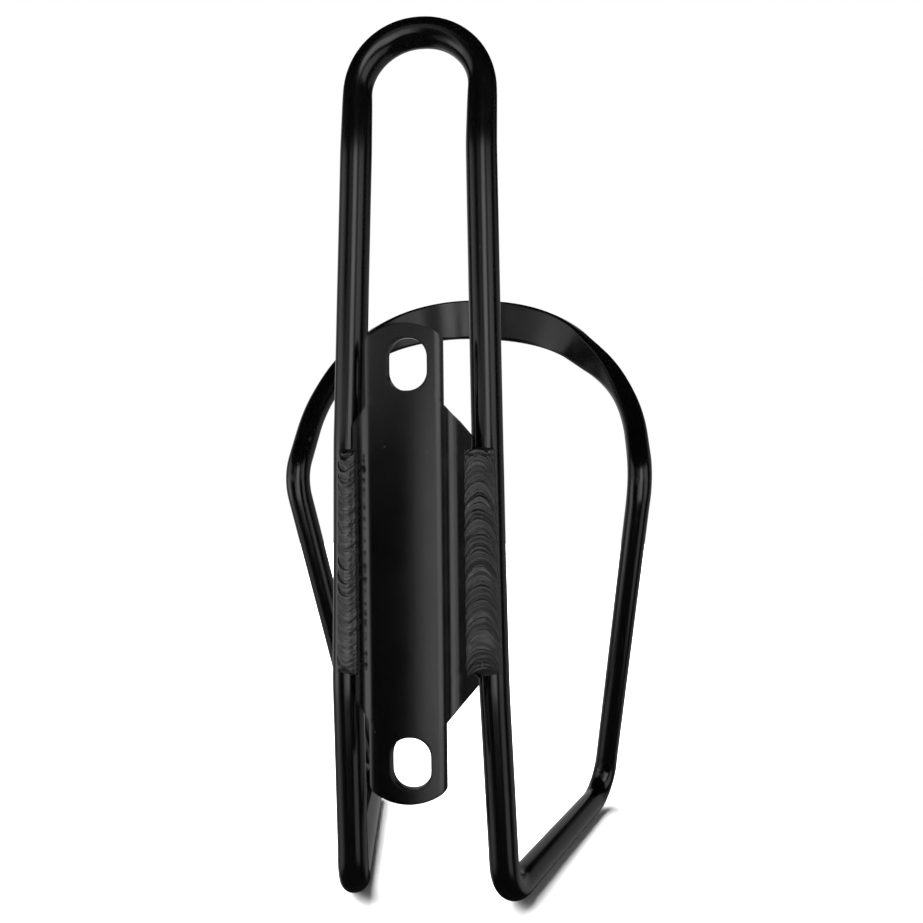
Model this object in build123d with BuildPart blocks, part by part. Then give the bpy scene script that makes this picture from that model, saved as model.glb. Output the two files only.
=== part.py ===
from build123d import *
from math import cos, pi, radians, sqrt, tan
import os

# Water bottle cage: a welded cage of bent aluminium rod on a pressed mounting plate.
# Frame: origin at the centre of the two bolt slots, on the plate's mounting face.
# +Z is up along the bottle, +Y points from the bicycle's tube to the bottle, X is the width.
# All sizes are in millimetres.

# ---------------- Driving dimensions ----------------
ROD_D = 5.0                 # the rod that the cage is bent from
RAIL_PLANE_Y = 6.6          # the rails' centre lines, ahead of the mounting face
RAIL_HALF_GAP = 12.2        # rail centre line from the middle, at the height of the origin
RAIL_SPLAY = 0.0188         # how fast the rails spread on the way down

# Top loop: an inverted U whose crown leans towards the bottle
UPPER_LEAN_Z = 20.0         # above here the rails lean towards the bottle
CROWN_LEAN_Z = 70.0         # above here the crown leans further
CROWN_LEAN_Y = 8.9
LOOP_TOP_Z = 91.0
LOOP_TOP_Y = 11.5
LOOP_TOP_HALF = 11.0
LOOP_BEND_R = 10.7
LEAN_BEND_R = 40.0

# Hoop round the bottle: corners of half an octagon, which are rounded into one sweep
BOTTLE_AXIS_Y = 44.0
HOOP_SHOULDER = (36.5, 59.8, 36.8)
HOOP_FRONT = (15.4, 82.5, 54.25)
HOOP_TILT = 0.097           # the hand-bent hoop stands a little higher on its left side
SHOULDER_BEND_R = 50.0
FRONT_BEND_R = 28.0

# Lower rod
LOWER_LEAN_Z = -21.0        # below here the rails lean forward
HEEL = (13.6, 10.8, -59.2)  # where a rail turns into a bottom prong
TOE = (29.2, 66.6, -64.5)   # where a bottom prong turns up into a side prong
ELBOW = (38.4, 44.6, 13.2)  # where a side prong turns into the hoop
HEEL_BEND_R = 8.0
TOE_BEND_R = 6.0
ELBOW_BEND_R = 11.0

# Hoop front, pressed from rod into an upright band
BAND_WIDTH = 10.2
BAND_HALF_LENGTH = 38.5
BAND_STATIONS = 12
BAND_EDGE_SHARE = 0.49      # the band's edge radius over its thickness: one half is a full round

# Mounting plate
SHEET = 1.4
PLATE_LENGTH = 77.2
STRIP_HALF = 5.65           # middle of the strip to its fold
WEB_DROP = 2.7              # how far the flanges lie behind the mounting face
FLANGE_HALF = 11.2
STRIP_CUT_HALF = 5.9
WING_ROOT_Z = 25.5
WING_TIP_Z = 19.2
PLATE_END_R = 9.6
PLATE_CORNER_R = 1.4
FOLD_ANGLE = 45.0           # at each fold of the channel
FOLD_OUTER_R = 2.0
FOLD_INNER_R = 0.6
SLOT_SPACING = 64.0
SLOT_LENGTH = 8.4
SLOT_WIDTH = 6.6

# Weld beads, one along each rail
BEAD_LENGTH = 37.2
BEAD_CENTRE_X = 11.3
BEAD_HALF_WIDTH = 2.6
BEAD_HEIGHT = 2.3
BEAD_END_R = 1.2

os.makedirs("parts", exist_ok=True)


def rail_x(z):
    """Distance of a rail's centre line from the middle at height z."""
    return RAIL_HALF_GAP - RAIL_SPLAY * z


def mirrored(point):
    """The same point on the left side."""
    return (-point[0], point[1], point[2])


def flattened_thickness(width):
    """Thickness of rod pressed to a given width, keeping its cross-section area."""
    corner_loss = 1 - pi / 4
    area = pi / 4 * ROD_D**2
    return (width - sqrt(width**2 - 4 * corner_loss * area)) / (2 * corner_loss)


# ---------------- Top loop: one rod, both ends under the weld beads ----------------
joint_right = (rail_x(0), RAIL_PLANE_Y, 0)
upper_lean = (rail_x(UPPER_LEAN_Z), RAIL_PLANE_Y, UPPER_LEAN_Z)
crown_lean = (rail_x(CROWN_LEAN_Z), CROWN_LEAN_Y, CROWN_LEAN_Z)
crown_right = (LOOP_TOP_HALF, LOOP_TOP_Y, LOOP_TOP_Z)
loop_radii = [LEAN_BEND_R, LEAN_BEND_R, LOOP_BEND_R]

with BuildPart() as top_loop:
    with BuildLine():
        loop_path = FilletPolyline(
            joint_right,
            upper_lean,
            crown_lean,
            crown_right,
            mirrored(crown_right),
            mirrored(crown_lean),
            mirrored(upper_lean),
            mirrored(joint_right),
            radius=loop_radii + loop_radii[::-1],
        )
    with BuildSketch(Plane(origin=loop_path @ 0, z_dir=loop_path % 0)):
        Circle(ROD_D / 2)
    sweep(path=loop_path)

# ---------------- Cradle: rails, bottom prongs, side prongs and hoop, one rod ----------------
lower_lean = (rail_x(LOWER_LEAN_Z), RAIL_PLANE_Y, LOWER_LEAN_Z)
half_radii = [LEAN_BEND_R, HEEL_BEND_R, TOE_BEND_R, ELBOW_BEND_R, SHOULDER_BEND_R, FRONT_BEND_R]


def tilted(point):
    """A hoop corner with the hoop's sideways tilt."""
    return (point[0], point[1], point[2] - HOOP_TILT * point[0])


def band_width(distance):
    """Width of the pressed hoop at a distance along it from its middle."""
    return ROD_D + (BAND_WIDTH - ROD_D) * cos(pi / 2 * distance / BAND_HALF_LENGTH)


with BuildPart() as cradle_hoop:
    with BuildLine():
        cradle_path = FilletPolyline(
            joint_right,
            lower_lean,
            HEEL,
            TOE,
            ELBOW,
            tilted(HOOP_SHOULDER),
            tilted(HOOP_FRONT),
            tilted(mirrored(HOOP_FRONT)),
            tilted(mirrored(HOOP_SHOULDER)),
            mirrored(ELBOW),
            mirrored(TOE),
            mirrored(HEEL),
            mirrored(lower_lean),
            mirrored(joint_right),
            radius=half_radii + half_radii[::-1],
        )
    band_share = BAND_HALF_LENGTH / cradle_path.length
    right_half = cradle_path.trim(0, 0.5 - band_share)
    left_half = cradle_path.trim(0.5 + band_share, 1)
    for rod_path in (right_half, left_half):
        with BuildSketch(Plane(origin=rod_path @ 0, z_dir=rod_path % 0)):
            Circle(ROD_D / 2)
        sweep(path=rod_path)
    for station in range(BAND_STATIONS + 1):
        distance = BAND_HALF_LENGTH * (2 * station / BAND_STATIONS - 1)
        place = 0.5 + distance / cradle_path.length
        middle = cradle_path @ place
        along = cradle_path % place
        outward = Vector(middle.X, middle.Y - BOTTLE_AXIS_Y, 0)
        width = band_width(distance)
        thickness = flattened_thickness(width)
        with BuildSketch(Plane(origin=middle, x_dir=along.cross(outward), z_dir=along)):
            RectangleRounded(width, thickness, BAND_EDGE_SHARE * thickness)
    loft()

# ---------------- Mounting plate: a pressed channel with a flange along each rail ----------------
fold_shift = SHEET * tan(radians(FOLD_ANGLE / 2))
end_sagitta = PLATE_END_R - sqrt(PLATE_END_R**2 - STRIP_CUT_HALF**2)
end_corner_z = PLATE_LENGTH / 2 - end_sagitta
channel_side = [
    (STRIP_HALF, 0),
    (STRIP_HALF + WEB_DROP, WEB_DROP),
    (FLANGE_HALF, WEB_DROP),
    (FLANGE_HALF, WEB_DROP + SHEET),
    (STRIP_HALF + WEB_DROP - fold_shift, WEB_DROP + SHEET),
    (STRIP_HALF - fold_shift, SHEET),
]
outline_side = [
    (STRIP_CUT_HALF, -end_corner_z),
    (STRIP_CUT_HALF, -WING_ROOT_Z),
    (FLANGE_HALF, -WING_TIP_Z),
    (FLANGE_HALF, WING_TIP_Z),
    (STRIP_CUT_HALF, WING_ROOT_Z),
    (STRIP_CUT_HALF, end_corner_z),
]

with BuildPart() as back_plate:
    with BuildSketch(Plane.XY.offset(-PLATE_LENGTH / 2)) as channel:
        with BuildLine():
            Polyline(*channel_side, *[(-x, y) for x, y in channel_side[::-1]], close=True)
        make_face()
        for fold_x, fold_y, fold_r in (
            (STRIP_HALF, 0, FOLD_OUTER_R),
            (STRIP_HALF - fold_shift, SHEET, FOLD_INNER_R),
            (STRIP_HALF + WEB_DROP, WEB_DROP, FOLD_INNER_R),
            (STRIP_HALF + WEB_DROP - fold_shift, WEB_DROP + SHEET, FOLD_OUTER_R),
        ):
            for side in (1, -1):
                nearest = channel.vertices().sort_by_distance((side * fold_x, fold_y, 0))
                fillet(nearest[0], fold_r)
    extrude(amount=PLATE_LENGTH)
    with BuildSketch(Plane.XZ) as outline:
        with BuildLine():
            for side in (1, -1):
                end_right = (STRIP_CUT_HALF, side * end_corner_z)
                end_middle = (0, side * PLATE_LENGTH / 2)
                end_left = (-STRIP_CUT_HALF, side * end_corner_z)
                Polyline(*[(side * x, z) for x, z in outline_side])
                ThreePointArc(end_right, end_middle, end_left)
        make_face()
        corners = outline.vertices().sort_by(Axis.Y)
        fillet(corners[:2] + corners[-2:], PLATE_CORNER_R)
    extrude(amount=FLANGE_HALF, both=True, mode=Mode.INTERSECT)
    with BuildSketch(Plane.XZ):
        with GridLocations(0, SLOT_SPACING, 1, 2):
            SlotOverall(SLOT_LENGTH, SLOT_WIDTH, rotation=90)
    extrude(amount=-2 * SHEET, mode=Mode.SUBTRACT)

# ---------------- Weld beads: they lap the flange's edge and the back of the rail ----------------
flange_back_y = WEB_DROP + SHEET


def weld_bead(side):
    """One bead: a long mound that fills the corner between a flange's edge and a rail."""
    with BuildPart() as bead:
        with BuildSketch(Plane.XY.offset(-BEAD_LENGTH / 2)):
            with Locations((side * BEAD_CENTRE_X, flange_back_y)):
                Ellipse(BEAD_HALF_WIDTH, BEAD_HEIGHT)
        extrude(amount=BEAD_LENGTH)
        fillet(bead.edges().filter_by(GeomType.ELLIPSE), BEAD_END_R)
        with Locations((0, flange_back_y + BEAD_HEIGHT / 2, 0)):
            Box(2 * RAIL_HALF_GAP, BEAD_HEIGHT, 2 * BEAD_LENGTH, mode=Mode.SUBTRACT)
        add(top_loop.part, mode=Mode.SUBTRACT)
        add(cradle_hoop.part, mode=Mode.SUBTRACT)
        add(back_plate.part, mode=Mode.SUBTRACT)
    return bead


weld_bead_right = weld_bead(1)
weld_bead_left = weld_bead(-1)

# ---------------- Named pieces ----------------
pieces = {
    "top_loop": top_loop,
    "cradle_hoop": cradle_hoop,
    "back_plate": back_plate,
    "weld_bead_right": weld_bead_right,
    "weld_bead_left": weld_bead_left,
}
for name, piece in pieces.items():
    piece.part.label = name
    export_step(piece.part, f"parts/{name}.step")
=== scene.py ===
from math import asin, cos, pi, radians, sin, sqrt

import bmesh
import bpy
import numpy as np
from mathutils import Matrix, Vector, noise


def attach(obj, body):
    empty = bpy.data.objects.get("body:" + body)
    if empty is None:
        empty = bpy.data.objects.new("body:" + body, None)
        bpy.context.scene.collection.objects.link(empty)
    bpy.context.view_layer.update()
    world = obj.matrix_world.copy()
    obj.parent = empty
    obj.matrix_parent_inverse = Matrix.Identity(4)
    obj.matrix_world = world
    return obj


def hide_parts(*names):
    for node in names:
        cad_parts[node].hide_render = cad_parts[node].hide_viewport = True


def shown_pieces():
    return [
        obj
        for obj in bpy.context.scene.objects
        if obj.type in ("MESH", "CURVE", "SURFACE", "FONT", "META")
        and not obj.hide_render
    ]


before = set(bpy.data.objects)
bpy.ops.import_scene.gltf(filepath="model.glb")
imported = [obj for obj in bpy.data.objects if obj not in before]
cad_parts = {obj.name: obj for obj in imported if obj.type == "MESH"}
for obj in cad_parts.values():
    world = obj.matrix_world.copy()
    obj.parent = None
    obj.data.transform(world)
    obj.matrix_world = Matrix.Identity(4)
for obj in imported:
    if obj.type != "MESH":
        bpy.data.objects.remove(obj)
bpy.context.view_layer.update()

# A water bottle cage in gloss black paint. Shapes are worked out in millimetres, in the CAD's
# frame, and new_piece() puts them into Blender in metres.
MM = 0.001

# ---------------- The rods: their nominal size and their paths ----------------
ROD_D = 5.0
RAIL_PLANE_Y = 6.6
RAIL_HALF_GAP = 12.2
RAIL_SPLAY = 0.0188
UPPER_LEAN_Z = 20.0
CROWN_LEAN = (70.0, 8.9)            # z and y of the bend where the crown starts to lean
LOOP_TOP = (11.0, 11.5, 90.7)       # where a leg would meet the crown, if the bend were sharp
LOOP_BEND_R = 10.7
LEAN_BEND_R = 40.0
LOWER_LEAN_Z = -21.0
HEEL = (13.6, 10.8, -59.2)
TOE = (29.2, 66.6, -64.5)
ELBOW = (38.4, 44.6, 13.2)
HOOP_SHOULDER = (36.5, 59.8, 36.8)
HOOP_FRONT = (15.4, 82.5, 54.25)
HOOP_TILT = 0.097
HALF_RADII = (LEAN_BEND_R, 8.0, 6.0, 11.0, 50.0, 28.0)   # from a rail to the hoop's middle
BOTTLE_AXIS_Y = 44.0
BAND_WIDTH = 10.2
BAND_HALF_LENGTH = 54.0             # the pressing fades out more softly than in the CAD
BAND_FADE = 1.7                     # above 1, the pressing is strongest near the middle

# How finely the rods are made, and what bending and painting did to them
PAINTED_LOOP_D = 5.3                # the rod with its paint
PAINTED_CRADLE_D = 5.15
CROWN_THINNING = 0.35               # bending stretched the rod at the top of the loop
CROWN_THIN_LENGTH = 30.0            # on each side of the loop's middle
CROWN_THIN_CORE = 0.4               # share of that length that is thinned in full
ROD_STEP = 0.75                     # between rings of points
ROD_SIDES = 80
OVAL = 0.36                         # flattening in a bend is this over the bend's radius
OVAL_SPREAD = 0.6                   # how much of the flattening turns into width
BEND_RUN_OUT = 2.2                  # a bend's flattening fades out over this length
WAVE_HEIGHT = 0.012                 # unevenness of the painted surface
WAVE_LENGTH = 9.0
BAND_EDGE_SHARE = 0.22              # the band's edge radius over its thickness: one half is a full round
LEFT_TOE_SHIFT = 0.6                # the hand-bent left toe stands a little further in
MARK_WIDTH = 0.55                   # half width of a mark that a bending die pressed
MARK_SPAN = (0.2, 0.9)              # a mark starts and is full this far towards the side it faces

# ---------------- The plate: its section and its outline ----------------
SHEET = 1.4
PLATE_LENGTH = 77.2
PLATE_HALF = 11.2
STRIP_EDGE = {1: 5.9, -1: 7.0}      # the strip's right and left edge: it was pressed a little off centre
WING_REACH = {1: (10.3, 11.2), -1: (9.4, 9.4)}   # the wings' upper and lower tips
WELDED_REACH = 9.8                  # the flange's edge under the weld
WELDED_END = 0.3                    # that edge starts to widen this far inside the weld's end
WELDED_FADE = 0.6
WING_ROOT_Z = 25.5
WING_TIP_Z = 19.2
PLATE_END_R = 10.5
PLATE_END_X = -0.7                  # top of the rounded ends
PLATE_CORNER_R = 0.9
WEB_DROP = 1.25                     # from the face back to the flange
FACE_EDGE = {1: 4.4, -1: 6.2}       # the strip's face, before it rolls back
FACE_CROWN_R = 45.0                 # the face is slightly crowned
ROLL_R = {1: 3.6, -1: 2.0}          # roll from the face into the web
FOLD_R = {1: 3.6, -1: 2.6}          # fold from the web into the flange
WEB_ANGLE = radians(28.0)
FLANGE_TILT = 0.05                  # the flanges rise a little towards their edges
SLOT_Z = 32.0
SLOT_WIDTH = 6.6
SLOT_LENGTH = 8.4
SLOT_CORNER_R = 3.1
STRIP_CORE = 4                      # the strip's points are spread more widely inside this half width
WING_COLUMNS = 25
SLOT_RINGS = 9                      # rings of points between a slot and the plate's outline
PLATE_EDGE_R = 0.35
SHARP_EDGE = radians(50)            # edges sharper than this are rounded
ROLL_STEPS = 60                     # steps of a rolled corner
HALVINGS = 24                       # how closely a slot's edge is searched for

# ---------------- Weld beads ----------------
BEAD_LENGTH = 37.2
BEAD_RISE = 1.7                     # its crown, above the line between its two edges
BEAD_SINK = 0.7                     # how deep its hidden base lies in the metal
BEAD_END = 1.2                      # length of its rounded ends
BEAD_ROWS = 480
BEAD_COLUMNS = 60
COARSE_RIPPLE = 0.18                # height of the main ripples, and of the finer ones between
FINE_RIPPLE = 0.14
COARSE_PITCH = 2.2                  # the main ripples' spacing over the finer ones'
GRAIN = (0.03, 0.5)                 # height and size of the weld's fine roughness
LUMPS = (0.12, 4.5)                 # and of its broad unevenness
CREASE_WIDTH = 0.2
CRACK_WIDTH = 0.14
CRACK_DEPTH_IN = 1.1                # the crack's distance from the bead's upper end
RAGGED = 0.35                       # unevenness of the bead's ends
FLOW_WAVE = (0.25, 2.6)             # how far ripples wander up and down, and over what length
LINE_STEP = 1.7                     # step through the noise from one ripple to the next
DEPTH_SPREAD = 1.6                  # how much the ripples' depths differ
SCALE_PEAK = 0.286                  # the most that a ripple's formula gives, before it is scaled to 1


def new_piece(name, points, faces, material, slot, *nodes):
    """A smooth mesh piece from points in millimetres, riding on the cage and standing for CAD nodes."""
    mesh = bpy.data.meshes.new(name)
    mesh.from_pydata([tuple(MM * c for c in p) for p in points], [], faces)
    mesh.update()
    mesh.shade_smooth()
    piece = bpy.data.objects.new(name, mesh)
    bpy.context.scene.collection.objects.link(piece)
    mesh.materials.append(material)
    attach(piece, "root")
    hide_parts(*nodes)
    return piece


def smooth_step(low, high, value):
    """0 below low, 1 above high and a smooth rise between."""
    t = np.clip((np.asarray(value, float) - low) / (high - low), 0, 1)
    return t * t * (3 - 2 * t)


def unit(vector):
    """The same direction with length 1."""
    return vector / np.linalg.norm(vector)


def ripple(point, scale, seed):
    """Smooth noise from -1 to 1 at a point in millimetres."""
    return noise.noise(Vector(point) / scale + Vector((seed, seed, seed)))


# ---------------- Rods ----------------
def rounded_path(corners, radii, step):
    """Points along a polyline with rounded corners, and its bends: (start, end, axis, radius)."""
    corners = [np.array(c, float) for c in corners]
    points = [corners[0]]
    bends = []
    length = 0.0

    def run_to(target):
        nonlocal length
        start = points[-1]
        run = np.linalg.norm(target - start)
        count = max(1, round(run / step))
        for i in range(1, count + 1):
            points.append(start + (target - start) * i / count)
        length += run

    for before, corner, after, radius in zip(corners, corners[1:], corners[2:], radii):
        arrive = unit(corner - before)
        leave = unit(after - corner)
        turn = np.arccos(np.clip(arrive @ leave, -1, 1))
        setback = radius * np.tan(turn / 2)
        axis = unit(np.cross(arrive, leave))
        run_to(corner - arrive * setback)
        centre = points[-1] + np.cross(axis, arrive) * radius
        spoke = points[-1] - centre
        count = max(4, round(radius * turn / step))
        for i in range(1, count + 1):
            angle = turn * i / count
            points.append(centre + spoke * cos(angle) + np.cross(axis, spoke) * sin(angle))
        bends.append((length, length + radius * turn, axis, radius))
        length += radius * turn
    run_to(corners[-1])
    return np.array(points), bends


def path_frames(points, band_middle=None, band_reach=0.0):
    """Distance, tangent and a steady sideways direction at each point.

    Near band_middle the sideways direction is the band's upright width."""
    steps = np.linalg.norm(np.diff(points, axis=0), axis=1)
    distance = np.concatenate([[0], np.cumsum(steps)])
    tangents = np.gradient(points, distance, axis=0)
    tangents /= np.linalg.norm(tangents, axis=1)[:, None]
    count = len(points)
    sideways = np.zeros_like(points)
    if band_middle is None:
        middle, last = 0, 0
        sideways[0] = unit(np.cross(tangents[0], (0, 1, 0)))
    else:
        inside = np.flatnonzero(np.abs(distance - band_middle) <= band_reach)
        middle, last = inside[0], inside[-1]
        for i in inside:
            outward = (points[i][0], points[i][1] - BOTTLE_AXIS_Y, 0)
            sideways[i] = unit(np.cross(tangents[i], outward))
    for i in range(last + 1, count):
        sideways[i] = unit(sideways[i - 1] - tangents[i] * (tangents[i] @ sideways[i - 1]))
    for i in range(middle - 1, -1, -1):
        sideways[i] = unit(sideways[i + 1] - tangents[i] * (tangents[i] @ sideways[i + 1]))
    return distance, tangents, sideways


def rod_section(width, thickness, sides):
    """Points evenly spaced round a section that turns from a full round into a flat bar."""
    flatness = max(0.0, 1 - thickness / width)
    radius = thickness * (0.5 + (BAND_EDGE_SHARE - 0.5) * min(1, 2 * flatness))
    wide = max(width - 2 * radius, 0.0)
    narrow = max(thickness - 2 * radius, 0.0)
    arc = pi * radius / 2
    half_around = wide + narrow + 2 * arc
    section = []
    for k in range(sides):
        along = 2 * half_around * k / sides + wide / 2
        side = 1
        while along >= half_around:
            along -= half_around
            side = -side
        if along < wide:
            x, y = along - wide / 2, thickness / 2
        elif along < wide + arc:
            angle = (along - wide) / radius
            x = wide / 2 + radius * sin(angle)
            y = narrow / 2 + radius * cos(angle)
        elif along < wide + arc + narrow:
            x, y = width / 2, narrow / 2 - (along - wide - arc)
        else:
            angle = (along - wide - arc - narrow) / radius
            x = wide / 2 + radius * cos(angle)
            y = -narrow / 2 - radius * sin(angle)
        section.append((side * x, side * y))
    return np.array(section)


def swept_rod(points, bends, sizes, marks=(), band_middle=None, band_reach=0.0):
    """Points and faces of a rod whose width and thickness sizes(distance) gives, with closed ends.

    Each mark is its distance along the rod, its depth and the direction that it faces."""
    distance, tangents, sideways = path_frames(points, band_middle, band_reach)
    vertices = []
    for centre, place, along, width_way in zip(points, distance, tangents, sideways):
        thick_way = np.cross(width_way, along)
        section = rod_section(*sizes(place), ROD_SIDES)
        ring = np.outer(section[:, 0], width_way) + np.outer(section[:, 1], thick_way)
        for start, end, axis, radius in bends:
            share = smooth_step(start - BEND_RUN_OUT, start + BEND_RUN_OUT, place)
            share *= 1 - smooth_step(end - BEND_RUN_OUT, end + BEND_RUN_OUT, place)
            if share > 0:
                inward = unit(np.cross(axis, along))
                flatten = OVAL / radius * share
                ring -= np.outer(ring @ inward, inward) * flatten
                ring += np.outer(ring @ axis, axis) * flatten * OVAL_SPREAD
        for mark, depth, facing in marks:
            near = np.exp(-(((place - mark) / MARK_WIDTH) ** 2))
            if near > 0.01:
                toward = unit(np.array(facing, float))
                seen = np.clip(ring @ toward / (ROD_D / 2), 0, 1)
                pressed = depth * near * smooth_step(*MARK_SPAN, seen)
                ring *= (1 - pressed / (ROD_D / 2))[:, None]
        for offset in ring:
            lump = WAVE_HEIGHT * ripple(centre + offset, WAVE_LENGTH, 3.0)
            vertices.append(centre + offset * (1 + lump / (ROD_D / 2)))
    rings = len(points)
    faces = []
    for i in range(rings - 1):
        for k in range(ROD_SIDES):
            a = i * ROD_SIDES + k
            b = i * ROD_SIDES + (k + 1) % ROD_SIDES
            faces.append((a, a + ROD_SIDES, b + ROD_SIDES, b))
    for ring_start in (0, (rings - 1) * ROD_SIDES):
        first = len(vertices)
        vertices += vertices[ring_start:ring_start + ROD_SIDES]
        cap = tuple(range(first, first + ROD_SIDES))
        faces.append(cap if ring_start == 0 else cap[::-1])
    return vertices, faces


def flip(point):
    """The same point on the other side."""
    return (-point[0], point[1], point[2])


def rail_x(z):
    """A rail's distance from the middle at height z."""
    return RAIL_HALF_GAP - RAIL_SPLAY * z


def tilted(point):
    """A corner of the hoop, which stands a little higher on its left side."""
    return (point[0], point[1], point[2] - HOOP_TILT * point[0])


def build_top_loop(material):
    """The inverted U above the plate."""
    right = [
        (rail_x(0), RAIL_PLANE_Y, 0),
        (rail_x(UPPER_LEAN_Z), RAIL_PLANE_Y, UPPER_LEAN_Z),
        (rail_x(CROWN_LEAN[0]), CROWN_LEAN[1], CROWN_LEAN[0]),
        LOOP_TOP,
    ]
    radii = (LEAN_BEND_R, LEAN_BEND_R, LOOP_BEND_R, LOOP_BEND_R, LEAN_BEND_R, LEAN_BEND_R)
    points, bends = rounded_path(right + [flip(p) for p in right[::-1]], radii, ROD_STEP)
    total = np.linalg.norm(np.diff(points, axis=0), axis=1).sum()

    def sizes(place):
        """Both ends, under the weld, have the cradle's size."""
        full = float(smooth_step(0, UPPER_LEAN_Z, min(place, total - place)))
        from_middle = abs(place - total / 2) / CROWN_THIN_LENGTH
        thinned = 1 - float(smooth_step(CROWN_THIN_CORE, 1.0, from_middle))
        painted = PAINTED_CRADLE_D + (PAINTED_LOOP_D - PAINTED_CRADLE_D) * full
        painted -= CROWN_THINNING * thinned
        return painted, painted

    vertices, faces = swept_rod(points, bends, sizes)
    return new_piece("top_loop_rod", vertices, faces, material, "rod_paint", "top_loop")


def build_cradle(material):
    """Rails, bottom prongs, side prongs and hoop: one rod, its front pressed into a band."""
    lower_lean = (rail_x(LOWER_LEAN_Z), RAIL_PLANE_Y, LOWER_LEAN_Z)
    right = [(rail_x(0), RAIL_PLANE_Y, 0), lower_lean, HEEL, TOE, ELBOW]
    left = [flip(p) for p in right[::-1]]
    left[1] = (left[1][0] + LEFT_TOE_SHIFT, left[1][1], left[1][2])
    hoop = [tilted(p) for p in (HOOP_SHOULDER, HOOP_FRONT, flip(HOOP_FRONT), flip(HOOP_SHOULDER))]
    points, bends = rounded_path(right + hoop + left, HALF_RADII + HALF_RADII[::-1], ROD_STEP)
    total = np.linalg.norm(np.diff(points, axis=0), axis=1).sum()
    middle = total / 2

    def sizes(place):
        """Width and thickness: pressing keeps the rod's cross-section area."""
        from_middle = min(abs(place - middle) / BAND_HALF_LENGTH, 1)
        pressed = max(0.0, cos(pi / 2 * from_middle)) ** BAND_FADE
        width = PAINTED_CRADLE_D + (BAND_WIDTH - PAINTED_CRADLE_D) * pressed
        loss = 1 - pi / 4
        area = pi / 4 * PAINTED_CRADLE_D**2
        return width, (width - sqrt(width**2 - 4 * loss * area)) / (2 * loss)

    right_toe, right_elbow = bends[2:4]
    left_elbow, left_toe = bends[8:10]
    marks = [
        (left_elbow[0] - 3.6, 0.12, (0.3, -1, 0.2)),
        (left_elbow[0] - 1.6, 0.05, (0.3, -1, 0.2)),
        (right_toe[1] + 1.2, 0.10, (-0.2, -1, 0)),
        (right_elbow[1] + 3.4, 0.04, (-0.3, -1, 0.2)),
        (left_toe[0] - 1.4, 0.07, (0.2, -1, 0)),
    ]
    vertices, faces = swept_rod(points, bends, sizes, marks, middle, BAND_HALF_LENGTH)
    return new_piece("cradle_rod", vertices, faces, material, "rod_paint", "cradle_hoop")


# ---------------- Plate ----------------
def plate_section(side):
    """The x and y of the plate's mounting side, from its middle to the right or left flange's edge."""
    xs, ys = [0.0], [0.0]
    heading = 0.0

    def roll(radius, angle, count):
        nonlocal heading
        for _ in range(count):
            turn = angle / count
            chord = 2 * abs(radius) * sin(abs(turn) / 2)
            xs.append(xs[-1] + chord * cos(heading + turn / 2))
            ys.append(ys[-1] + chord * sin(heading + turn / 2))
            heading += turn

    face_turn = asin(FACE_EDGE[side] / FACE_CROWN_R)
    roll(FACE_CROWN_R, face_turn, ROLL_STEPS)
    roll(ROLL_R[side], WEB_ANGLE - face_turn, 2 * ROLL_STEPS)
    fold_drop = FOLD_R[side] * (1 - cos(WEB_ANGLE))
    straight = (WEB_DROP - fold_drop - ys[-1]) / sin(WEB_ANGLE)
    xs.append(xs[-1] + straight * cos(WEB_ANGLE))
    ys.append(ys[-1] + straight * sin(WEB_ANGLE))
    roll(FOLD_R[side], -WEB_ANGLE, ROLL_STEPS)
    fold_x = xs[-1]
    xs.append(PLATE_HALF)
    ys.append(ys[-1] - FLANGE_TILT * (PLATE_HALF - fold_x))
    return xs, ys


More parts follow.
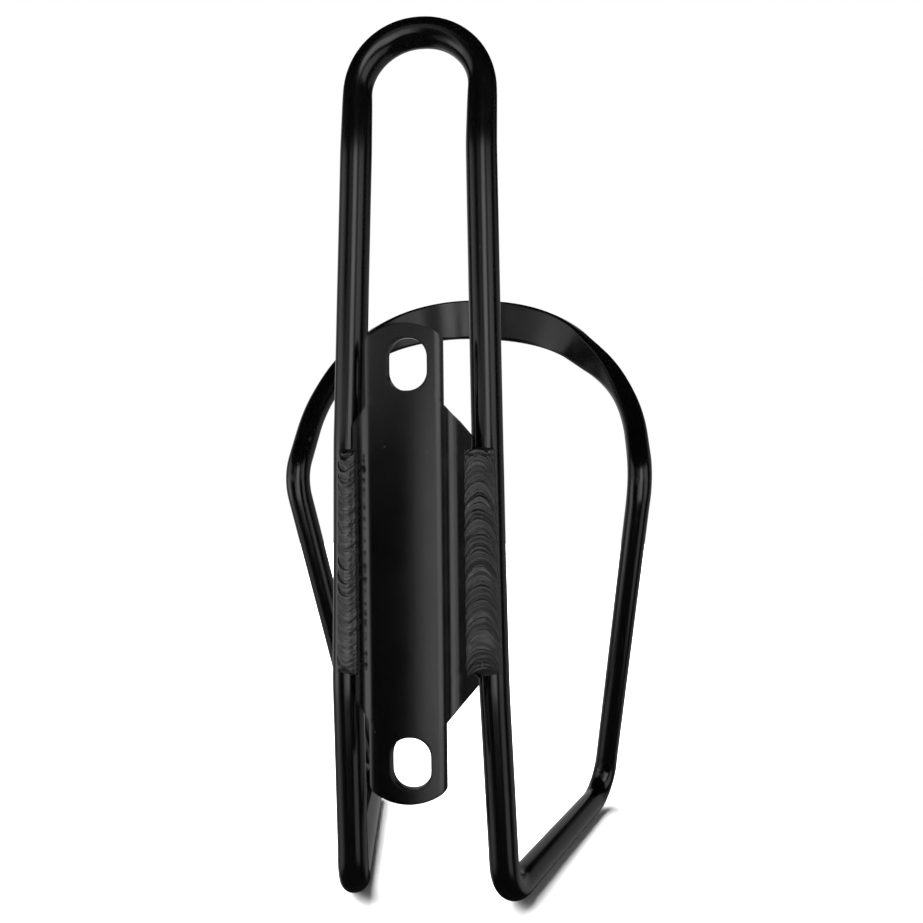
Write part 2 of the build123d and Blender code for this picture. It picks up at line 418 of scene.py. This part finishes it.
def plate_grid():
    """A flat net of (x, z) points and faces: rows through the middle, and a ring round each slot."""
    strip = np.concatenate([np.linspace(-STRIP_EDGE[-1], -STRIP_CORE, 14),
                            np.linspace(-STRIP_CORE, STRIP_CORE, 15)[1:-1],
                            np.linspace(STRIP_CORE, STRIP_EDGE[1], 12)])
    wing = np.linspace(0, 1, WING_COLUMNS)
    points = []
    faces = []

    def sheet_of(rows):
        """Quads between rows of points that all have the same count."""
        first = len(points)
        width = len(rows[0])
        for row in rows:
            points.extend(row)
        for i in range(len(rows) - 1):
            for j in range(width - 1):
                a = first + i * width + j
                faces.append((a, a + 1, a + width + 1, a + width))

    heights = np.concatenate([np.linspace(-WING_ROOT_Z, -WING_TIP_Z, 13)[:-1],
                              np.linspace(-WING_TIP_Z, WING_TIP_Z, 41),
                              np.linspace(WING_TIP_Z, WING_ROOT_Z, 13)[1:]])
    slope = (PLATE_HALF - STRIP_EDGE[1]) / (WING_ROOT_Z - WING_TIP_Z)
    sheet_of([[(x, z) for x in strip] for z in heights])
    for side in (-1, 1):
        upper, lower = WING_REACH[side]
        weld_end = BEAD_LENGTH / 2 - WELDED_END
        welded = 1 - smooth_step(weld_end - WELDED_FADE, weld_end, np.abs(heights))
        reach = np.where(heights > 0, upper, lower)
        reach = reach + (WELDED_REACH - reach) * welded
        edge = np.minimum(reach, STRIP_EDGE[side] + slope * (WING_ROOT_Z - np.abs(heights)))
        sheet_of([[(side * (STRIP_EDGE[side] + t * (e - STRIP_EDGE[side])), z) for t in wing]
                  for z, e in zip(heights, edge)])

    def end_z(x):
        """Height of the rounded end, with its rounded corners."""
        past_corner = max(0.0, abs(x) - STRIP_EDGE[1 if x > 0 else -1] + PLATE_CORNER_R)
        arc = PLATE_LENGTH / 2 - PLATE_END_R + sqrt(PLATE_END_R**2 - (x - PLATE_END_X) ** 2)
        return arc - past_corner**2 / (2 * PLATE_CORNER_R)

    for end in (-1, 1):
        bottom = [(x, WING_ROOT_Z) for x in strip]
        across = (STRIP_EDGE[1] + STRIP_EDGE[-1]) / 2
        middle = (STRIP_EDGE[1] - STRIP_EDGE[-1]) / 2
        top = [middle + across * cos(pi * t) for t in np.linspace(0, 1, len(strip) + 8)]
        top = [(x, end_z(x)) for x in top]
        right_side = [(top[0][0], z) for z in np.linspace(WING_ROOT_Z, top[0][1], 12)[1:-1]]
        left_side = [(top[-1][0], z) for z in np.linspace(top[-1][1], WING_ROOT_Z, 12)[1:-1]]
        loop = bottom + right_side + top + left_side
        rings = []
        slot_half = np.array((SLOT_WIDTH / 2, SLOT_LENGTH / 2))
        for share in np.linspace(0, 1, SLOT_RINGS):
            ring = []
            for outer in loop:
                way = np.array(outer) - (0, SLOT_Z)
                low, high = 0.0, 1.0
                for _ in range(HALVINGS):
                    mid = (low + high) / 2
                    past = np.maximum(np.abs(way * mid) - (slot_half - SLOT_CORNER_R), 0)
                    if np.linalg.norm(past) > SLOT_CORNER_R:
                        high = mid
                    else:
                        low = mid
                x, z = way * (low + (1 - low) * share)
                ring.append((x, end * (z + SLOT_Z)))
            rings.append(ring + ring[:1])
        sheet_of(rings if end < 0 else rings[::-1])
    return points, faces


def build_plate(material):
    """The pressed plate: the flat net is folded by the section, thickened and given round edges."""
    sections = {side: plate_section(side) for side in (1, -1)}
    net, faces = plate_grid()
    points = [(x, np.interp(abs(x), *sections[1 if x > 0 else -1]), z) for x, z in net]
    plate = new_piece("mounting_plate", points, faces, material, "plate_paint", "back_plate")
    mesh = bmesh.new()
    mesh.from_mesh(plate.data)
    bmesh.ops.remove_doubles(mesh, verts=mesh.verts, dist=0.02 * MM)
    bmesh.ops.dissolve_degenerate(mesh, edges=mesh.edges, dist=0.01 * MM)
    bmesh.ops.recalc_face_normals(mesh, faces=mesh.faces)
    if sum(face.normal.y for face in mesh.faces) > 0:
        bmesh.ops.reverse_faces(mesh, faces=mesh.faces)
    mesh.to_mesh(plate.data)
    mesh.free()
    thick = plate.modifiers.new("thickness", "SOLIDIFY")
    thick.thickness = SHEET * MM
    thick.offset = -1
    thick.use_even_offset = True
    edges = plate.modifiers.new("round_edges", "BEVEL")
    edges.width = PLATE_EDGE_R * MM
    edges.segments = 3
    edges.limit_method = "ANGLE"
    edges.angle_limit = SHARP_EDGE
    plate.data.shade_smooth()
    return plate


# ---------------- Weld beads ----------------
def ripple_lines(seed, reach, pitch, unevenness):
    """Heights where one ripple of weld ends and the next starts, with each one's depth, about 1."""
    lines, depths = [-reach], [1.0]
    while lines[-1] < reach:
        count = len(lines)
        wander = noise.noise(Vector((seed, LINE_STEP * count, 0)))
        other = noise.noise(Vector((seed, LINE_STEP * count, 9)))
        lines.append(lines[-1] + pitch * (1 + unevenness * wander))
        depths.append(1 + DEPTH_SPREAD * other)
    return np.array(lines), np.array(depths)


def scales(flow, lines, depths):
    """Height of overlapping ripples: each has a steep upper edge and falls gently below it."""
    at = int(np.clip(np.searchsorted(lines, flow) - 1, 0, len(lines) - 2))
    share = np.clip((flow - lines[at]) / (lines[at + 1] - lines[at]), 0, 1)
    return depths[at] * (share**2 * sqrt(1 - share) / SCALE_PEAK - 0.5)


def weld_flow(bead, across, z):
    """z, shifted so that a ripple that bows across the bead keeps one value."""
    bow = (1 - sqrt(1 - 0.9 * across**2)) * (1 + 0.2 * across)
    wander = FLOW_WAVE[0] * ripple((across * 3, 0, z), FLOW_WAVE[1], bead["seed"])
    return z + bead["sag"] * bow + wander


def weld_relief(bead, coarse_scale, fine_scale, flow, across, rise, z):
    """Height of the weld's surface over a smooth mound."""
    seed = bead["seed"]
    spot = (across * 3, 0, z)
    height = COARSE_RIPPLE * coarse_scale + FINE_RIPPLE * fine_scale
    height += GRAIN[0] * ripple(spot, GRAIN[1], seed + 4)
    height += LUMPS[0] * ripple(spot, LUMPS[1], seed + 8)
    height *= bead["relief"]
    for step, depth in bead["creases"]:
        height -= depth * rise * np.exp(-(((flow - step) / CREASE_WIDTH) ** 2))
    for dent_z, dent_across, half_height, half_width, depth, rim in bead["dents"]:
        away = sqrt(((z - dent_z) / half_height) ** 2 + ((across - dent_across) / half_width) ** 2)
        height -= depth * (1 - smooth_step(0.3, 1.0, away))
        height += rim * np.exp(-(((away - 1.1) / 0.22) ** 2))
    crack = BEAD_LENGTH / 2 - CRACK_DEPTH_IN + 0.5 * ripple((across * 3, 0, 0), 0.9, seed + 40)
    return height - bead["crack"] * np.exp(-(((z - crack) / CRACK_WIDTH) ** 2))


def build_bead(node, bead, material):
    """A rippled mound of weld between a flange's edge and a rail.

    Across it, -1 is its edge on the flange and 1 its edge on the rail."""
    side, seed = bead["side"], bead["seed"]
    coarse = ripple_lines(seed, BEAD_LENGTH, bead["pitch"] * COARSE_PITCH, 0.8)
    fine = ripple_lines(seed + 20, BEAD_LENGTH, bead["pitch"], 0.7)
    flange_x, flange_y = bead["flange_edge"]
    rail_edge_x, rail_edge_y = bead["rail_edge"]
    points = []
    for i in range(BEAD_ROWS + 1):
        for k in range(BEAD_COLUMNS + 1):
            angle = pi * (1 - k / BEAD_COLUMNS)
            across, rise = cos(angle), sin(angle)
            ragged = RAGGED * ripple((across * 3, 0, 0), 1.1, seed + 30)
            low = -BEAD_LENGTH / 2 + bead["low_arch"] * rise**2 + ragged
            high = BEAD_LENGTH / 2 + bead["high_arch"] * rise**2 - ragged
            z = low + (high - low) * i / BEAD_ROWS
            end_gap = min(z - low, high - z)
            fullness = sqrt(max(0.0, 1 - (1 - min(end_gap / BEAD_END, 1)) ** 2))
            flow = weld_flow(bead, across, z)
            coarse_scale = scales(flow, *coarse)
            height = weld_relief(bead, coarse_scale, scales(flow, *fine), flow, across, rise, z)
            share = (1 + across) / 2 + 0.03 * across * coarse_scale
            x = flange_x + (rail_edge_x - RAIL_SPLAY * z - flange_x) * share
            y = flange_y + (rail_edge_y - flange_y) * (1 + across) / 2
            lift = (BEAD_RISE * rise**0.75 + height * min(1, 3 * rise)) * fullness
            sink = BEAD_SINK * (1 - min(1, 8 * rise))
            points.append((side * x, y - lift + sink, z))
    faces = []
    width = BEAD_COLUMNS + 1
    for i in range(BEAD_ROWS):
        for k in range(BEAD_COLUMNS):
            a = i * width + k
            faces.append((a, a + 1, a + width + 1, a + width))
        start = i * width
        faces.append((start + BEAD_COLUMNS, start, start + width, start + width + BEAD_COLUMNS))
    last = BEAD_ROWS * width
    faces.append(tuple(range(width - 1, -1, -1)))
    faces.append(tuple(range(last, last + width)))
    if side < 0:
        faces = [f[::-1] for f in faces]
    return new_piece(node + "_ripples", points, faces, material, "weld_paint", node)


# ---------------- Materials ----------------
BLACK = (0.001, 0.001, 0.0011)
WELD_BLACK = (0.009, 0.009, 0.0093)
PEEL_HEIGHT = 0.02                  # in millimetres, as the next one
STREAK_HEIGHT = 0.01
STREAK_STRETCH = 0.015              # the drawn lines' fineness along Z over that across


def paint(name, colour, speck, roughness, peel, peel_scale, streaks=0.0, gloss=0.5):
    """Black paint: a faint orange peel, cloudy gloss and a few dust specks under the finish.

    streaks is the depth of drawn lines in the sheet below, along Z. gloss is the specular level."""
    material = bpy.data.materials.new(name)
    material.use_nodes = True
    nodes, links = material.node_tree.nodes, material.node_tree.links
    shader = nodes["Principled BSDF"]
    shader.inputs["Specular IOR Level"].default_value = gloss
    place = nodes.new("ShaderNodeTexCoord")

    def noise_of(scale, detail):
        node = nodes.new("ShaderNodeTexNoise")
        node.inputs["Scale"].default_value = scale
        node.inputs["Detail"].default_value = detail
        links.new(place.outputs["Object"], node.inputs["Vector"])
        return node

    def ranged(source, low, high, to_low, to_high):
        node = nodes.new("ShaderNodeMapRange")
        node.inputs["From Min"].default_value = low
        node.inputs["From Max"].default_value = high
        node.inputs["To Min"].default_value = to_low
        node.inputs["To Max"].default_value = to_high
        links.new(source, node.inputs["Value"])
        return node.outputs["Result"]

    cloud = noise_of(160.0, 3.0)
    cloudy = ranged(cloud.outputs["Fac"], 0.3, 0.7, roughness - 0.03, roughness + 0.04)
    links.new(cloudy, shader.inputs["Roughness"])
    dust = noise_of(1400.0, 1.0)
    tint = nodes.new("ShaderNodeMix")
    tint.data_type = "RGBA"
    tint.inputs["A"].default_value = (*colour, 1)
    tint.inputs["B"].default_value = (*speck, 1)
    dusty = ranged(dust.outputs["Fac"], 0.79, 0.83, 0.0, 1.0)
    links.new(dusty, tint.inputs["Factor"])
    links.new(tint.outputs["Result"], shader.inputs["Base Color"])
    bump = nodes.new("ShaderNodeBump")
    bump.inputs["Strength"].default_value = peel
    bump.inputs["Distance"].default_value = PEEL_HEIGHT * MM
    links.new(noise_of(peel_scale, 2.0).outputs["Fac"], bump.inputs["Height"])
    links.new(bump.outputs["Normal"], shader.inputs["Normal"])
    if streaks > 0:
        stretch = nodes.new("ShaderNodeMapping")
        stretch.inputs["Scale"].default_value = (1, 1, STREAK_STRETCH)
        links.new(place.outputs["Object"], stretch.inputs["Vector"])
        lines = noise_of(1500.0, 2.0)
        links.new(stretch.outputs["Vector"], lines.inputs["Vector"])
        grooves = nodes.new("ShaderNodeBump")
        grooves.inputs["Strength"].default_value = streaks
        grooves.inputs["Distance"].default_value = STREAK_HEIGHT * MM
        links.new(lines.outputs["Fac"], grooves.inputs["Height"])
        links.new(grooves.outputs["Normal"], bump.inputs["Normal"])
    return material


rod_paint = paint("rod_paint", BLACK, (0.015,) * 3, roughness=0.17, peel=0.2, peel_scale=900.0)
plate_paint = paint("plate_paint", BLACK, (0.02,) * 3, roughness=0.19, peel=0.2, peel_scale=900.0,
                    streaks=0.35)
weld_paint = paint("weld_paint", WELD_BLACK, (0.04,) * 3, roughness=0.36, peel=0.5,
                   peel_scale=2200.0, gloss=0.95)

# ---------------- The pieces ----------------
# sag bows the ripples up or, below 0, down. low_arch and high_arch bow the bead's ends.
# creases: (height, depth). dents: (height, across, half height, half width, depth, raised rim)
RIGHT_BEAD = {
    "side": 1,
    "seed": 2.0,
    "pitch": 1.2,
    "relief": 1.6,
    "sag": 4.8,
    "flange_edge": (9.0, 1.4),
    "rail_edge": (13.75, 4.55),
    "low_arch": 1.3,
    "high_arch": 0.2,
    "crack": 0.35,
    "creases": [(11.1, 0.45), (10.1, 0.3), (3.1, 0.45), (0.2, 0.35), (-1.5, 0.35)],
    "dents": [(-16.0, 0.0, 0.45, 0.16, 0.35, 0.0), (13.2, 0.97, 1.8, 0.2, 0.45, 0.0)],
}
LEFT_BEAD = {
    "side": -1,
    "seed": 5.0,
    "pitch": 1.0,
    "relief": 0.95,
    "sag": -2.4,
    "flange_edge": (8.8, 1.3),
    "rail_edge": (13.0, 4.25),
    "low_arch": 1.0,
    "high_arch": -0.5,
    "crack": 0.0,
    "creases": [(3.9, 0.15), (2.2, 0.2), (-2.3, 0.15)],
    "dents": [(17.4, 0.05, 0.8, 0.6, 0.9, 0.05), (15.3, 0.05, 2.1, 0.6, 0.25, 0.15)],
}

build_top_loop(rod_paint)
build_cradle(rod_paint)
build_plate(plate_paint)
build_bead("weld_bead_right", RIGHT_BEAD, weld_paint)
build_bead("weld_bead_left", LEFT_BEAD, weld_paint)


# ---------------- Floor ----------------
FLOOR_REACH = 4.0                   # in metres
FLOOR_COLOUR = (0.9, 0.9, 0.9, 1)
FLOOR_ROUGHNESS = 0.9
RESTING_STEPS = 5                   # each finds the touching points again with a better slope


def resting_plane():
    """Height at y = 0 and slope along y of the floor that touches the cage's heels and toes."""
    lows = []
    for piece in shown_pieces():
        lows += [(v.co.y, v.co.z) for v in piece.data.vertices]
    lows = np.array(lows)
    front = lows[:, 0] > BOTTLE_AXIS_Y * MM
    slope = 0.0
    for _ in range(RESTING_STEPS):
        drop = lows[:, 1] - slope * lows[:, 0]
        toe = lows[front][np.argmin(drop[front])]
        heel = lows[~front][np.argmin(drop[~front])]
        slope = (toe[1] - heel[1]) / (toe[0] - heel[0])
    return heel[1] - slope * heel[0], slope


def build_floor():
    """A pale floor that reflections don't see."""
    height, slope = resting_plane()
    corners = [(x * FLOOR_REACH, y * FLOOR_REACH, height + slope * y * FLOOR_REACH)
               for x, y in ((-1, -1), (1, -1), (1, 1), (-1, 1))]
    mesh = bpy.data.meshes.new("studio_floor")
    mesh.from_pydata(corners, [], [(0, 1, 2, 3)])
    material = bpy.data.materials.new("studio_floor")
    material.use_nodes = True
    shader = material.node_tree.nodes["Principled BSDF"]
    shader.inputs["Base Color"].default_value = FLOOR_COLOUR
    shader.inputs["Roughness"].default_value = FLOOR_ROUGHNESS
    mesh.materials.append(material)
    floor = bpy.data.objects.new("studio_floor", mesh)
    floor.visible_glossy = False
    return floor


floor = build_floor()
floor_only = bpy.data.collections.new("floor_only")   # what the floor's own lamp lights
bpy.context.scene.collection.children.link(floor_only)
floor_only.objects.link(floor)


# ---------------- Studio ----------------
def softbox(nodes, links, direction, azimuth, half_width, side_blur, low, high, end_blur, strength):
    """Brightness of one soft-edged panel: azimuth is from -Y towards +X, all angles in degrees."""
    a = radians(azimuth)

    def dot(vector):
        node = nodes.new("ShaderNodeVectorMath")
        node.operation = "DOT_PRODUCT"
        node.inputs[1].default_value = vector
        links.new(direction, node.inputs[0])
        return node.outputs["Value"]

    def math(operation, first, second=None):
        node = nodes.new("ShaderNodeMath")
        node.operation = operation
        for socket, value in zip(node.inputs, (first, second)):
            if value is None:
                continue
            if isinstance(value, (int, float)):
                socket.default_value = value
            else:
                links.new(value, socket)
        return node.outputs["Value"]

    def edge(value, middle, blur, falling):
        node = nodes.new("ShaderNodeMapRange")
        node.interpolation_type = "SMOOTHSTEP"
        node.inputs["From Min"].default_value = radians(middle - blur / 2)
        node.inputs["From Max"].default_value = radians(middle + blur / 2)
        node.inputs["To Min"].default_value = 1.0 if falling else 0.0
        node.inputs["To Max"].default_value = 0.0 if falling else 1.0
        links.new(value, node.inputs["Value"])
        return node.outputs["Result"]

    turn = math("ABSOLUTE", math("ARCTAN2", dot((cos(a), sin(a), 0)), dot((sin(a), -cos(a), 0))))
    height = math("ARCSINE", dot((0, 0, 1)))
    inside = edge(turn, half_width, side_blur, True)
    above = edge(height, low, end_blur, False)
    below = edge(height, high, end_blur, True)
    return math("MULTIPLY", math("MULTIPLY", inside, strength), math("MULTIPLY", above, below))


# Each panel: azimuth, half width and side blur, lowest, highest and end blur, brightness
PANELS = [
    (17, 11.5, 9, -27, 31, 8, 2.2),
    (-3, 7.5, 15, -28, 6, 12, 1.6),
    (-75, 22, 34, -20, 27, 8, 0.85),
    (-75, 22, 34, -42, -20, 8, 0.5),
    (-72, 12, 14, -24, 4, 10, 0.9),
    (62, 16, 10, -20, 28, 8, 1.05),
    (62, 16, 10, -42, -20, 8, 0.7),
    (15, 40, 16, 6, 31, 8, 0.4),
    (-45, 22, 30, 4, 13, 8, 0.7),
    (195, 28, 12, -22, 30, 12, 0.4),
    (-132, 18, 16, -41, 27, 10, 0.3),
    (145, 16, 14, -42, 17, 10, 0.27),
    (118, 12, 16, -41, 27, 10, 0.25),
]
AMBIENT = 0.012                     # brightness of the room between the panels


def build_studio():
    """A white room for the camera; in reflections, soft panels in a dark one."""
    world = bpy.data.worlds.new("studio")
    bpy.context.scene.world = world
    world.use_nodes = True
    nodes, links = world.node_tree.nodes, world.node_tree.links
    nodes.clear()
    place = nodes.new("ShaderNodeTexCoord")
    total = None
    for panel in PANELS:
        light = softbox(nodes, links, place.outputs["Generated"], *panel)
        add = nodes.new("ShaderNodeMath")
        add.operation = "ADD"
        add.inputs[0].default_value = AMBIENT
        if total is not None:
            links.new(total, add.inputs[0])
        links.new(light, add.inputs[1])
        total = add.outputs["Value"]
    panels_light = nodes.new("ShaderNodeBackground")
    panels_light.inputs["Color"].default_value = (1, 1, 1, 1)
    links.new(total, panels_light.inputs["Strength"])
    room = nodes.new("ShaderNodeBackground")
    room.inputs["Color"].default_value = (1, 1, 1, 1)
    seen = nodes.new("ShaderNodeLightPath")
    mix = nodes.new("ShaderNodeMixShader")
    output = nodes.new("ShaderNodeOutputWorld")
    links.new(seen.outputs["Is Camera Ray"], mix.inputs["Fac"])
    links.new(panels_light.outputs["Background"], mix.inputs[1])
    links.new(room.outputs["Background"], mix.inputs[2])
    links.new(mix.outputs["Shader"], output.inputs["Surface"])


def floor_light(name, direction, spread, strength):
    """A broad even lamp that lights the floor alone, from that direction; the cage still shades it."""
    lamp = bpy.data.lights.new(name, "SUN")
    lamp.angle = radians(spread)
    lamp.energy = strength
    light = bpy.data.objects.new(name, lamp)
    bpy.context.scene.collection.objects.link(light)
    light.rotation_euler = Vector(direction).to_track_quat("Z", "Y").to_euler()
    light.light_linking.receiver_collection = floor_only


build_studio()
floor_light("floor_key", direction=(-0.9, 0.12, 0.95), spread=85, strength=15.0)
bpy.context.scene.view_settings.view_transform = "Standard"

# ---------------- Camera ----------------
IMAGE_SIDE = 923
FOCAL_LENGTH = 747.0                # in the image's own units
SENSOR = 36.0
CAMERA_PLACE = (33.1, -116.2, 16.3)
CAMERA_YAW = radians(5.9)
CAMERA_PITCH = radians(0.8)
CAMERA_ROLL = radians(-0.5)
SHIFT = (-0.084, 0.0114)

camera_data = bpy.data.cameras.new("camera")
camera_data.sensor_width = SENSOR
camera_data.lens = SENSOR * FOCAL_LENGTH / IMAGE_SIDE
camera_data.shift_x, camera_data.shift_y = SHIFT
camera_data.clip_start = 0.005
camera_data.clip_end = 50
camera = bpy.data.objects.new("camera", camera_data)
bpy.context.scene.collection.objects.link(camera)
ahead = cos(CAMERA_PITCH)
forward = Vector((-sin(CAMERA_YAW) * ahead, cos(CAMERA_YAW) * ahead, -sin(CAMERA_PITCH)))
level = Vector((cos(CAMERA_YAW), sin(CAMERA_YAW), 0))
upright = level.cross(forward)
across = level * cos(CAMERA_ROLL) + upright * sin(CAMERA_ROLL)
up = upright * cos(CAMERA_ROLL) - level * sin(CAMERA_ROLL)
turn = Matrix((across, up, -forward)).transposed().to_4x4()
camera.matrix_world = Matrix.Translation(Vector(CAMERA_PLACE) * MM) @ turn
bpy.context.scene.camera = camera
